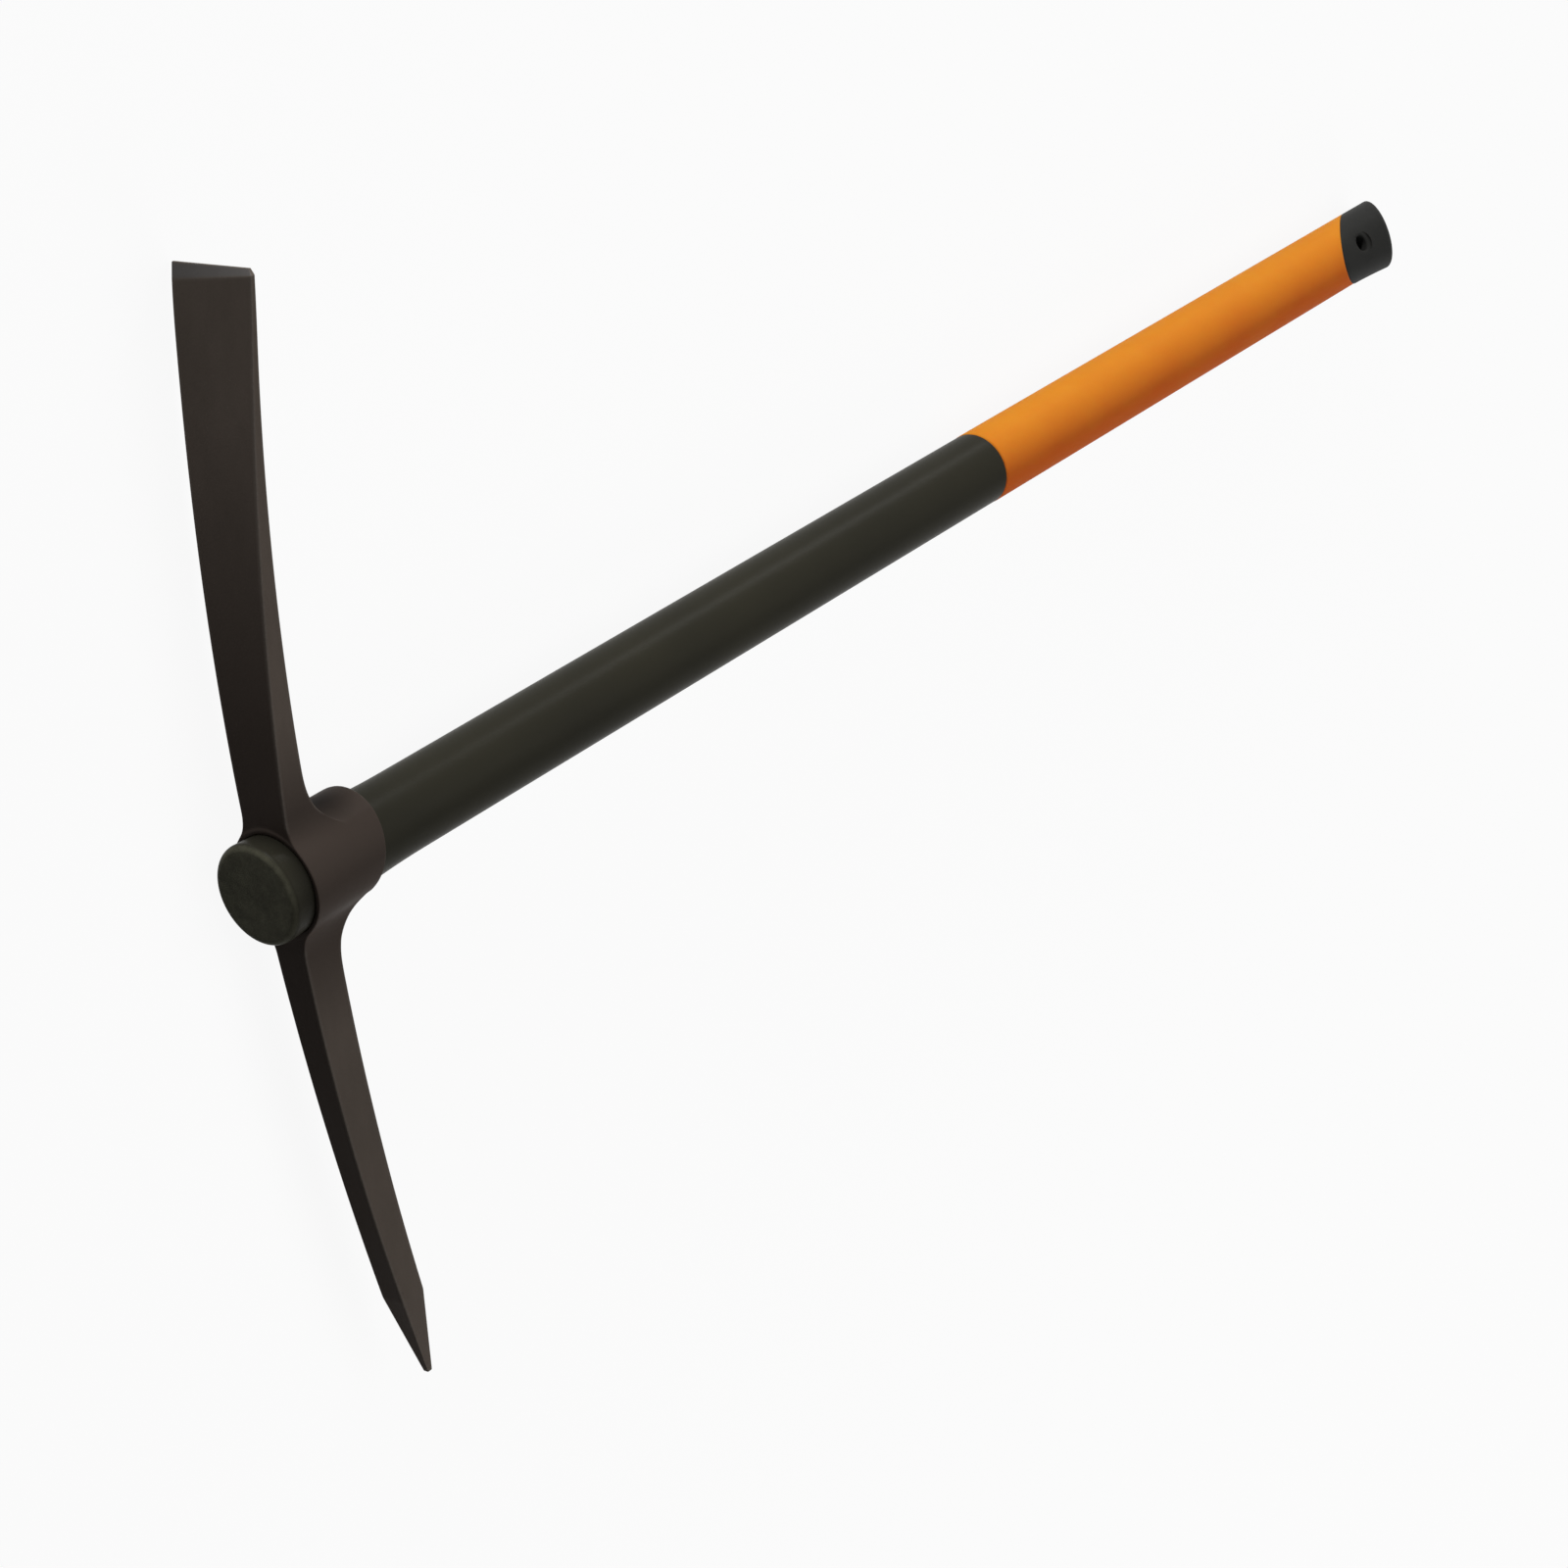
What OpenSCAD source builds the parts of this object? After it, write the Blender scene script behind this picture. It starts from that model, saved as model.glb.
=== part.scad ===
// Mattock with a chisel blade and a square pick on a round tapered eye, jammed on the swell of a
// plastic-jacketed fibreglass handle with a soft grip and a sloped end cap. Millimetres.
// The tool lies on its side: +X runs from the head to the butt, +Y to the chisel and +Z up.
// The origin is on the floor, below the middle of the box.

/* [Handle] */
// Length from the top of the swell to the middle of the sloped end
handle_len = 908.6; // [700:1:1100]
// Diameter of the jacket along the shaft
shaft_d = 36; // [33:0.5:40]
// Half angle of the tapered swell
swell_taper = 3.6; // [1.5:0.1:5]
// Rise of the swell above the shaft at the back of the eye
swell_rise = 0.8; // [0.2:0.05:1.5]
// Distance behind the eye over which the swell runs down to the shaft
swell_run = 30; // [8:1:60]
// Height of the crown, the part of the swell in front of the eye
crown_height = 11.8; // [5:0.2:16]
// Radius of the rim round the crown's flat face
crown_round = 3; // [1:0.5:4.5]
// Diameter of the fibreglass rod inside the jacket
core_d = 20; // [14:0.5:24]
// Solid plastic over the top end of the rod
core_cover = 14; // [6:1:30]
// Turn of the handle in the round eye
handle_turn = 10; // [0:1:45]

/* [Grip and end cap] */
// Length of the grip along the axis, up to the sloped seam
grip_len = 363; // [200:1:450]
// Thickness of the grip sleeve
grip_wall = 3; // [2:0.25:4]
// Height of the grip above the shaft
grip_step = 0.15; // [0:0.05:0.6]
// Radius of the rounded edge where the grip begins
grip_edge = 1.2; // [0.5:0.1:1.8]
// Distance along the axis from the seam to the end of the cap
seam_inset = 35.6; // [26:0.2:50]
// Slope of the seam between the grip and the cap
seam_angle = 59; // [30:1:60]
// Slope of the end of the cap
end_angle = 42; // [10:1:48]
// Radius of the cap's outer edge
cap_round = 3.5; // [2:0.5:6]
// Swelling of the cap's radius at its end
cap_swell = 0.95; // [0:0.05:3]
// Sideways lean of the cap's end, which makes a heel
cap_heel = 1; // [0:0.1:2.5]
// Diameter of the hole for hanging
hole_d = 9; // [6:0.5:10]
// Diameter of the flat seats round the hole
hole_seat_d = 15; // [13:0.5:18]
// Depth of the flat seats below the grip's surface
hole_seat_deep = 0.8; // [0.4:0.1:1.2]
// Distance along the axis from the hole to the end of the cap
hole_inset = 44; // [36:0.5:46]
// Turn of the hole from the long side of the cap
hole_turn = 16; // [0:1:25]
// Length of the rod held in the cap
spigot_len = 10; // [6:0.5:12]
// Plastic between the end of the rod and the hole
rod_clear = 9; // [6:0.5:12]

/* [Eye] */
// Length of the eye along the handle, in its middle
eye_len = 42; // [36:1:55]
// Wall of the eye at the front
front_wall = 2; // [1.8:0.1:6]
// Wall of the eye at the back
back_wall = 3.2; // [1.8:0.1:6]
// Slope of the back rim, which is longer below the chisel
eye_rake = 12; // [0:1:16]
// Radius of the front rim
eye_rim = 1.5; // [0.5:0.1:1.7]

/* [Arms] */
// Reach of the chisel from the handle's axis
blade_reach = 248.7; // [180:0.5:300]
// Distance the chisel's end lies behind the front of the eye
blade_sag = 29.6; // [10:0.2:50]
// Width of the chisel at its root
blade_root_w = 22.2; // [18:0.5:28]
// Width of the cutting edge
blade_edge_w = 44.6; // [30:0.2:48]
// Thickness of the chisel at its root
blade_root_t = 16.2; // [9:0.2:18]
// Thickness of the chisel behind the bevel
blade_tip_t = 2.1; // [1.6:0.1:5]
// Height of the bevel behind the middle of the cutting edge
bevel_len = 5.6; // [4:0.2:15]
// Height that the bevel gains towards its lower side and loses towards its upper side
bevel_skew = 2.2; // [0:0.1:3]
// Thickness of the cutting edge
edge_t = 1; // [0.5:0.1:1.4]
// Wear of the upper corner of the cutting edge
corner_wear = 1.6; // [0:0.2:4]
// Reach of the pick from the handle's axis
pick_reach = 246.2; // [180:0.5:300]
// Distance the pick's end lies behind the front of the eye
pick_sag = 26.2; // [10:0.2:50]
// Width of the pick at its root
pick_root_w = 18.4; // [12:0.2:22]
// Width of the pick where the point begins
pick_tip_w = 12.2; // [6:0.2:14]
// Thickness of the pick at its root
pick_root_t = 20.6; // [12:0.2:24]
// Thickness of the pick where the point begins
pick_tip_t = 13.4; // [8:0.2:18]
// Length of the four-sided point
point_len = 42; // [20:1:60]
// Width of the blunt end of the point
point_w = 2.6; // [1.5:0.1:5]
// Bevel along the edges of both arms
arm_bevel = 1.1; // [0.5:0.1:1.8]
// Radius between the backs of the arms and the eye
back_fillet = 30; // [20:1:36]
// Radius between the sides of the arms and the eye
side_fillet = 15; // [8:1:25]

/* [Fits] */
// Gap round the swell in the eye
seat_gap = 0.02; // [0:0.01:0.1]
// Gap round the moulded and glued seats
bond_gap = 0.02; // [0:0.01:0.1]

/* [Hidden] */
$fn = 96;
shaft_r = shaft_d / 2;
core_r = core_d / 2;
grip_r = shaft_r + grip_step;
sleeve_r = grip_r - grip_wall;
cap_r = grip_r + cap_swell;
hole_r = hole_d / 2;
hole_seat_r = hole_seat_d / 2;
// places along the handle, from the face of the crown
eye_x = crown_height;
eye_back_x = eye_x + eye_len;
swell_back_x = eye_back_x + (shaft_r + swell_rise + back_wall) * tan(eye_rake);
seam_x = handle_len - seam_inset;
grip_x = seam_x - grip_len;
hole_x = handle_len - hole_inset;
// the jacket ends short of the hole and the rod goes on into the cap
core_end_x = hole_x - hole_r - rod_clear;
jacket_end_x = core_end_x - spigot_len;
// the swell is a cone from the crown to the back of the eye
swell_back_r = shaft_r + swell_rise;
swell_r = swell_back_r + swell_back_x * tan(swell_taper);
eye_front_r = swell_at(eye_x) + front_wall;
eye_back_r = swell_at(eye_back_x) + back_wall;
// height at which the backs of the arms start to sweep into the eye
back_start_y = eye_back_r + back_fillet * 0.69;
// width of the chisel where its sides start to flare
blade_flare_w = mix(blade_root_w, blade_edge_w, 0.1);
// box of the tool as it lies on its eye
end_slope = tan(end_angle);
cap_far_x = max([for (a = [0:15:90]) cap_edge_x(a) + end_slope * cap_edge_r(a)]);
axis_z = eye_front_r;

function mix(a, b, u) = a + (b - a) * u;

// radius of the swell's cone at a place along the handle
function swell_at(x) = swell_r - x * tan(swell_taper);

// rise of a circular fillet of radius r at a distance d past its start, held after a quarter
function fillet_at(r, d) = r - sqrt(r * r - pow(max(0, min(d, r)), 2));

// height at which the side of an arm of this half width starts to flare into an eye of this radius
function flare_start(half, eye_r) = sqrt(pow(eye_r + side_fillet, 2) - pow(half + side_fillet, 2));
function flare_at(y, half, eye_r) = fillet_at(side_fillet, flare_start(half, eye_r) - y);

// height at which the flare touches the front of the eye, where the arm begins
function root_y(half) = flare_start(half, eye_front_r) * eye_front_r / (eye_front_r + side_fillet);

// bevelled section across an arm at height y, from its front half width to its back half width
function arm_ring(y, front, back, half, back_half, bevel) = [
    [front + bevel, y, -half],
    [front, y, -half + bevel],
    [front, y, half - bevel],
    [front + bevel, y, half],
    [back - bevel, y, back_half],
    [back, y, back_half - bevel],
    [back, y, -back_half + bevel],
    [back - bevel, y, -back_half]
];

// section of the chisel at height y: it curves back, widens, and thins to the bevel
function blade_ring(y) =
    let (
        u = y / blade_reach,
        front = eye_x + blade_sag * pow(u, 1.87),
        thick = mix(blade_root_t, blade_tip_t, 1.35 * u - 0.35 * u * u),
        half = mix(blade_root_w, blade_edge_w, u) / 2,
        sweep = fillet_at(back_fillet, back_start_y - y)
    )
    arm_ring(
        y, front, front + thick + sweep,
        half + flare_at(y, blade_flare_w / 2, eye_front_r),
        half + flare_at(y, blade_flare_w / 2, eye_back_r),
        min(arm_bevel, thick * 0.3)
    );

// last full section of the chisel, on the skewed line where the bevel begins
function shoulder_ring() = [
    for (p = blade_ring(blade_reach - bevel_len)) p + [0, bevel_skew * p[2] / (blade_edge_w / 2), 0]
];

// section at the cutting edge, ground on the front only and worn at its upper corner
function edge_ring() =
    let (
        back = eye_x + blade_sag + blade_tip_t,
        half = (blade_edge_w - corner_wear) / 2,
        ring = arm_ring(blade_reach, back - edge_t, back, half, half, edge_t * 0.3)
    )
    [for (p = ring) p - [0, 0, corner_wear / 2]];

// section of the pick at height y, up to the start of its point
function pick_ring(y) =
    let (
        u = y / (pick_reach - point_len),
        front = eye_x + pick_sag * pow(y / pick_reach, 1.9),
        thick = mix(pick_root_t, pick_tip_t, 0.67 * u + 0.33 * u * u),
        half = mix(pick_root_w, pick_tip_w, 2 * u - u * u) / 2,
        sweep = fillet_at(back_fillet, back_start_y - y)
    )
    arm_ring(
        y, front, front + thick + sweep,
        half + flare_at(y, pick_root_w / 2, eye_front_r),
        half + flare_at(y, pick_root_w / 2, eye_back_r),
        arm_bevel
    );

// section at the blunt end of the point
function point_ring() =
    let (mid = eye_x + pick_sag + pick_tip_t / 3)
    arm_ring(pick_reach, mid - point_w / 2, mid + point_w / 2, point_w / 2, point_w / 2, point_w * 0.25);

// heights of an arm's sections: close together over the fillets, then evenly to the last
function arm_steps(first, last) = concat(
    [for (i = [0:11]) mix(first, back_start_y, i / 12)],
    [for (i = [0:14]) mix(back_start_y, last, i / 14)]
);

// middle and radius of the cap's rounded outer edge, a degrees round it
function cap_edge_x(a) = handle_len - cap_round * (1 - sin(a));
function cap_edge_r(a) = cap_r - cap_round * (1 - cos(a));

// ring round the cap on a sloped plane, its middle moved sideways
function cap_ring(x, slope, r, side) = [
    for (a = [0:10:350]) [x - slope * r * cos(a), side - r * sin(a), r * cos(a)]
];

// solid through a row of rings with equal counts of points
module loft(rings) {
    count = len(rings[0]);
    top = (len(rings) - 1) * count;
    sides = [
        for (i = [0:len(rings) - 2], j = [0:count - 1])
        let (a = i * count + j, b = i * count + (j + 1) % count)
        each [[a, b + count, b], [a, a + count, b + count]]
    ];
    first = [for (j = [0:count - 1]) j];
    last = [for (j = [count - 1:-1:0]) top + j];
    polyhedron([for (ring = rings) each ring], concat([first], sides, [last]), convexity = 6);
}

// profile drawn as [place along the handle, radius], turned about the handle's axis
module turned() {
    rotate([0, 90, 0]) rotate_extrude() rotate([0, 0, 90]) mirror([0, 1, 0]) children();
}

// round bar along the handle's axis
module bar(x, end_x, r) {
    translate([x, 0, 0]) rotate([0, 90, 0]) cylinder(r = r, h = end_x - x);
}

// from the handle's axis to the floor
module placed() {
    translate([-cap_far_x / 2, (pick_reach - blade_reach) / 2, axis_z]) children();
}

// the handle's own sides, turned in the eye
module handled() {
    placed() rotate([-handle_turn, 0, 0]) children();
}

module blade() {
    steps = arm_steps(root_y(blade_flare_w / 2), blade_reach - bevel_len);
    body = [for (i = [0:len(steps) - 2]) blade_ring(steps[i])];
    loft(concat(body, [shoulder_ring(), edge_ring()]));
}

module pick() {
    steps = arm_steps(root_y(pick_root_w / 2), pick_reach - point_len);
    mirror([0, 1, 0]) loft(concat([for (y = steps) pick_ring(y)], [point_ring()]));
}

// outside of the eye with a rounded front rim and a back rim cut on a slope
module eye() {
    difference() {
        turned() union() {
            polygon([
                [eye_x, 0],
                [eye_x, eye_front_r - eye_rim],
                [eye_x + eye_rim, eye_front_r],
                [swell_back_x + 4, eye_back_r],
                [swell_back_x + 4, 0]
            ]);
            translate([eye_x + eye_rim, eye_front_r - eye_rim]) circle(r = eye_rim);
        }
        translate([eye_back_x, 0, 0]) rotate([0, 0, -eye_rake])
        translate([0, -2 * eye_front_r, -2 * eye_front_r]) cube(4 * eye_front_r);
    }
}

// the tapered hole that the swell jams in
module eye_bore() {
    far = swell_back_x + 10;
    turned() polygon([
        [-1, 0],
        [-1, swell_at(-1) + seat_gap],
        [far, swell_at(far) + seat_gap],
        [far, 0]
    ]);
}

module head() {
    color("#3a332f") placed() difference() {
        union() {
            eye();
            blade();
            pick();
        }
        eye_bore();
    }
}

module fibreglass_core() {
    color("#c9c29a") placed() bar(core_cover, core_end_x, core_r);
}

module shaft_jacket() {
    // the crown's rim meets its face and the cone without a step
    rim_y = swell_at(crown_round * (1 + sin(swell_taper))) - crown_round * cos(swell_taper);
    rim = [for (i = [0:8]) let (a = (90 + swell_taper) * i / 8) [
        crown_round * (1 - cos(a)),
        rim_y + crown_round * sin(a)
    ]];
    run = [for (i = [1:8]) [
        swell_back_x + swell_run * i / 8,
        shaft_r + swell_rise * pow(1 - i / 8, 2)
    ]];
    color("#2f2e29") placed() difference() {
        turned() polygon(concat(
            [[0, 0]],
            rim,
            [[swell_back_x, swell_back_r]],
            run,
            [[grip_x, shaft_r], [grip_x, sleeve_r], [jacket_end_x, sleeve_r], [jacket_end_x, 0]]
        ));
        bar(core_cover, handle_len, core_r + bond_gap);
    }
}

// everything behind the sloped seam between the grip and the cap
module behind_seam() {
    size = 8 * handle_len;
    translate([seam_x, 0, 0]) rotate([0, -seam_angle, 0])
    translate([0, -size / 2, -size / 2]) cube(size);
}

// eyelet of the cap that comes out through the short side of the sleeve
module eyelet(r) {
    rotate([-hole_turn, 0, 0]) translate([hole_x, 0, hole_seat_deep - grip_r]) cylinder(r = r, h = grip_r);
}

// sleeve with a rounded front edge, cut on the sloped seam, with a hole for the cap's eyelet
module grip_sleeve() {
    color("#df7a1c") handled() difference() {
        turned() union() {
            translate([grip_x + grip_edge, sleeve_r + bond_gap]) square([handle_len, grip_wall - bond_gap]);
            translate([grip_x, sleeve_r + bond_gap])
            square([2 * grip_edge, grip_wall - bond_gap - grip_edge]);
            translate([grip_x + grip_edge, grip_r - grip_edge]) circle(r = grip_edge);
        }
        behind_seam();
        rotate([-hole_turn, 0, 0]) translate([hole_x, 0, -2 * grip_r])
        cylinder(r = hole_seat_r + bond_gap, h = 2 * grip_r);
    }
}

// outside of the cap: it swells and leans a little towards its sloped, rounded end
module pommel() {
    start = jacket_end_x + bond_gap;
    body = [for (i = [0:5]) let (u = i / 5) cap_ring(
        mix(start, cap_edge_x(0), u),
        end_slope * u,
        mix(grip_r, cap_r, u * u),
        -cap_heel * u * u
    )];
    edge = [for (a = [15:15:90]) cap_ring(cap_edge_x(a), end_slope, cap_edge_r(a), -cap_heel)];
    loft(concat(body, edge));
}

module end_cap() {
    color("#2b2b28") handled() difference() {
        union() {
            intersection() {
                pommel();
                union() {
                    bar(0, handle_len, sleeve_r);
                    translate([bond_gap, 0, 0]) behind_seam();
                }
            }
            eyelet(hole_seat_r);
        }
        bar(0, core_end_x + bond_gap, core_r + bond_gap);
        rotate([-hole_turn, 0, 0]) {
            translate([hole_x, 0, -2 * grip_r]) cylinder(r = hole_r, h = 4 * grip_r);
            translate([hole_x, 0, grip_r - hole_seat_deep]) cylinder(r = hole_seat_r, h = grip_r);
        }
    }
}

head();
fibreglass_core();
shaft_jacket();
grip_sleeve();
end_cap();
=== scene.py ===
import bmesh
import bpy
import numpy as np
from mathutils import Matrix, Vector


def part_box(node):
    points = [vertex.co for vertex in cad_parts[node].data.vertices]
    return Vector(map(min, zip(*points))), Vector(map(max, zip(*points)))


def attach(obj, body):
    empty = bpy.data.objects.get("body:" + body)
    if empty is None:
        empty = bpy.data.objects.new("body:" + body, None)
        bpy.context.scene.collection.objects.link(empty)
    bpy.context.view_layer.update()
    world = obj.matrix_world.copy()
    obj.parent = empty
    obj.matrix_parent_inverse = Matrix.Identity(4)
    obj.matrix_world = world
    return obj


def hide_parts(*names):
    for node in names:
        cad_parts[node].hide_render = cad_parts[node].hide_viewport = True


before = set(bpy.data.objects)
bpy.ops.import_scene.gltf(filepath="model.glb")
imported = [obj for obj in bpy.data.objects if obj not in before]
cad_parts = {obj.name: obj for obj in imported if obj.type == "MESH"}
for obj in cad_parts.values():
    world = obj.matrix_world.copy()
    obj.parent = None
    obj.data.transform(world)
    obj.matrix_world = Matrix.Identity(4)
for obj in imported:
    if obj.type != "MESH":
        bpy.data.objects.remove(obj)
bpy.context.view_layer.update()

# Fibreglass core: a pultruded rod of glass fibre and polyester that carries the bending.
# It is moulded into the jacket and glued into the cap, so nothing of it shows from outside.
# Its own CAD solid stays, with the look of the bare rod.


def linear(code):
    """Linear red, green, blue and alpha of an sRGB hex colour."""
    s = np.array([int(code[i:i + 2], 16) for i in (1, 3, 5)]) / 255
    return (*np.where(s <= 0.04045, s / 12.92, ((s + 0.055) / 1.055) ** 2.4), 1)


def add(tree, kind, sockets=(), **settings):
    """Adds a node: settings are its properties, and each socket gets a value or another node's output."""
    node = tree.nodes.new("ShaderNode" + kind)
    for key, value in settings.items():
        setattr(node, key, value)
    for key, value in dict(sockets).items():
        if isinstance(value, bpy.types.NodeSocket):
            tree.links.new(value, node.inputs[key])
        else:
            node.inputs[key].default_value = value
    return node


def new_finish(name, **values):
    """A material with one shader, its constant values set on the shader's own sockets."""
    material = bpy.data.materials.new(name)
    material.use_nodes = True
    shader = material.node_tree.nodes["Principled BSDF"]
    for key, value in values.items():
        shader.inputs[key.replace("_", " ")].default_value = value
    return material, material.node_tree, shader


def feed(tree, shader, **outputs):
    """Links outputs of nodes to the shader's sockets of these names."""
    for key, output in outputs.items():
        tree.links.new(output, shader.inputs[key.replace("_", " ")])


PER_MM = 1000.0  # a pattern of s millimetres has scale PER_MM / s on coordinates in metres

# pultruded glass fibre: straw-coloured resin with paler fibres 0.6 mm apart along the rod
glass_fibre, tree, shader = new_finish("pultruded_glass_fibre", Roughness=0.38, IOR=1.52)
place = add(tree, "TexCoord").outputs["Object"]
along = add(tree, "Mapping", {"Vector": place, "Scale": (0.01, 1, 1)}).outputs[0]
fibres = add(tree, "TexNoise", {"Vector": along, "Scale": PER_MM / 0.6, "Detail": 2}).outputs[0]
tone = add(tree, "Mix", {0: fibres, 6: linear("#a99f6e"), 7: linear("#d8d0a6")}, data_type="RGBA")
dent = add(tree, "Bump", {"Height": fibres, "Strength": 0.3, "Distance": 0.0001})
feed(tree, shader, Base_Color=tone.outputs[2], Normal=dent.outputs[0])
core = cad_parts["fibreglass_core"]
core.data.materials.clear()
core.data.materials.append(glass_fibre)

# Shaft jacket: the black polypropylene moulded over the rod, which makes the round shaft.
# At the top it swells to the tapered crown that the head jams on, with a rounded rim round a flat face.
# Under the grip it steps down by the thickness of the sleeve.
jacket_low, jacket_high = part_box("shaft_jacket")
# all shapes are worked out in millimetres from the middle of the crown's face, with X along the handle
crown_at = np.array([jacket_low.x, (jacket_low.y + jacket_high.y) / 2, (jacket_low.z + jacket_high.z) / 2])


def mix(a, b, u):
    """The value a share u of the way from a to b."""
    return a + (b - a) * u


def grid_quads(rows, columns, ring):
    """Corner numbers of the quads of a grid, row by row; a ring joins the last column to the first."""
    number = np.arange(rows * columns).reshape(rows, columns)
    if ring:
        number = np.hstack([number, number[:, :1]])
    a, b, c, d = number[:-1, :-1], number[:-1, 1:], number[1:, 1:], number[1:, :-1]
    return np.stack([a, b, c, d], axis=-1).reshape(-1, 4)


def closed(mesh, near=2e-6):
    """The mesh with points nearer than this many metres merged, slivers dropped and faces turned outwards."""
    shell = bmesh.new()
    shell.from_mesh(mesh)
    bmesh.ops.remove_doubles(shell, verts=shell.verts, dist=near)
    bmesh.ops.dissolve_degenerate(shell, edges=shell.edges, dist=near)
    bmesh.ops.recalc_face_normals(shell, faces=shell.faces)
    shell.to_mesh(mesh)
    shell.free()
    return mesh


def new_mesh(name, grids, marks=None):
    """One closed mesh from grids of points in millimetres, each (points, ring), merged where they meet.

    marks names a value from 0 to 1 for every point, which a material can read.
    """
    points = np.vstack([p.reshape(-1, 3) for p, ring in grids]) / 1000 + crown_at
    starts = np.cumsum([0] + [p.shape[0] * p.shape[1] for p, ring in grids])
    quads = [grid_quads(*p.shape[:2], ring) + start for (p, ring), start in zip(grids, starts)]
    mesh = bpy.data.meshes.new(name)
    mesh.from_pydata(points.tolist(), [], np.vstack(quads).tolist())
    for key, values in (marks or {}).items():
        values = np.concatenate([v.ravel() for v in values])
        mesh.attributes.new(key, "FLOAT", "POINT").data.foreach_set("value", values.astype(np.float32))
    return closed(mesh)


def new_piece(name, mesh, material, node, sharp=0.6):
    """A shown piece on the one body, smooth but for edges sharper than an angle in radians."""
    mesh.materials.clear()
    mesh.materials.append(material)
    mesh.shade_smooth()
    mesh.set_sharp_from_angle(angle=sharp)
    piece = bpy.data.objects.new(name, mesh)
    bpy.context.scene.collection.objects.link(piece)
    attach(piece, "root")
    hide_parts(node)
    return piece


def turned(profile, sides=128):
    """A profile of [place along the axis, radius] turned about the axis: one row for each of its points."""
    x, r = np.array(profile, float).T[:, :, None]
    a = np.linspace(0, 2 * np.pi, sides, endpoint=False)
    return np.stack(np.broadcast_arrays(x, r * np.cos(a), r * np.sin(a)), axis=-1)


shaft_r = 18.0
crown_round = 3.0
swell_angle = np.radians(3.6)
swell_back_x = 58.476  # the cone ends here, at this radius, and runs out to the shaft
swell_back_r = 18.8
swell_run = 30.0
fit_gap = 0.02  # between two pieces that touch
core_r = 10.0 + fit_gap
core_cover = 14.0
grip_x = 510.0
step_long = 0.4  # bevel of the step under the grip's end
step_deep = 0.3
jacket_end_x = 841.1
sleeve_r = 15.15
eye_x = 11.8  # where the head's eye begins


def swell_at(x):
    """Radius of the swell's cone at a place along the handle."""
    return swell_back_r + (swell_back_x - x) * np.tan(swell_angle)


# the rim is an arc that touches the face and the cone
rim_r = swell_at(crown_round * (1 + np.sin(swell_angle))) - crown_round * np.cos(swell_angle)
arc = np.linspace(0, np.pi / 2 + swell_angle, 13)
rim = np.stack([crown_round * (1 - np.cos(arc)), rim_r + crown_round * np.sin(arc)], axis=-1)
# behind the eye the swell runs out on a parabola
fade = np.linspace(0, 1, 13)
run_r = shaft_r + (swell_back_r - shaft_r) * (1 - fade) ** 2
run = np.stack([swell_back_x + swell_run * fade, run_r], axis=-1)
shaft = np.stack([np.linspace(90, grip_x - step_long, 40), np.full(40, shaft_r)], axis=-1)
# the outline goes from the face over the swell and along the shaft to the step, and back along the rod
jacket_profile = np.vstack([
    [[0, 0], [0, 6], [0, 12], [0, 17]], rim, [[20, swell_at(20)], [40, swell_at(40)]], run, shaft,
    [[grip_x, shaft_r - step_deep], [grip_x, sleeve_r], [jacket_end_x, sleeve_r], [jacket_end_x, core_r]],
    [[core_cover, core_r], [core_cover, 0]],
])

# moulded polypropylene: olive-black, with a fine spark-eroded grain that spreads the highlight;
# the real grain is about 0.2 mm and is drawn at 0.7 mm so that it shows. The crown's face is scuffed paler,
# because it is knocked on the ground to seat the head, and painted shade darkens the crown next to the head's
# front.
scuff_deep = 0.002  # in metres, as the reach of the painted shade is
shade_reach = 0.011
black_plastic, tree, shader = new_finish("moulded_polypropylene", IOR=1.49, Specular_IOR_Level=0.018)
place = add(tree, "TexCoord").outputs["Object"]
cloud = add(tree, "TexNoise", {"Vector": place, "Scale": PER_MM / 60, "Detail": 3}).outputs[0]
grain = add(tree, "TexNoise", {
    "Vector": place, "Scale": PER_MM / 0.7, "Detail": 3, "Roughness": 0.6,
}).outputs[0]
plain = add(tree, "Mix", {0: cloud, 6: linear("#2b2a24"), 7: linear("#343229")}, data_type="RGBA")
along = add(tree, "SeparateXYZ", {0: place}).outputs[0]
near = add(tree, "MapRange", {
    "Value": along, "From Min": crown_at[0] + scuff_deep, "From Max": crown_at[0],
}).outputs[0]
rubs = add(tree, "TexNoise", {
    "Vector": place, "Scale": PER_MM / 5, "Detail": 4, "Roughness": 0.7,
}).outputs[0]
scuff = add(tree, "Math", {0: near, 1: rubs}, operation="MULTIPLY")
pale = add(tree, "Mix", {0: scuff.outputs[0], 6: plain.outputs[2], 7: linear("#747362")}, data_type="RGBA")
# painted shade: the jacket is drawn darker near the eye's front, where the crown goes into the head
past = add(tree, "Math", {0: along, 1: crown_at[0] + eye_x / 1000}, operation="SUBTRACT")
away = add(tree, "Math", {0: past.outputs[0]}, operation="ABSOLUTE")
painted_shade = add(tree, "MapRange", {
    "Value": away.outputs[0], "From Max": shade_reach, "To Min": 0.7, "To Max": 0.0,
}).outputs[0]
tone = add(tree, "Mix", {0: painted_shade, 6: pale.outputs[2], 7: linear("#12110e")}, data_type="RGBA")
rough = add(tree, "MapRange", {"Value": grain, "To Min": 0.28, "To Max": 0.38})
dent = add(tree, "Bump", {"Height": grain, "Strength": 0.35, "Distance": 0.0002})
feed(tree, shader, Base_Color=tone.outputs[2], Roughness=rough.outputs[0], Normal=dent.outputs[0])
jacket_mesh = new_mesh("handle_jacket", [(turned(jacket_profile), True)])
new_piece("handle_jacket", jacket_mesh, black_plastic, "shaft_jacket")

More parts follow.
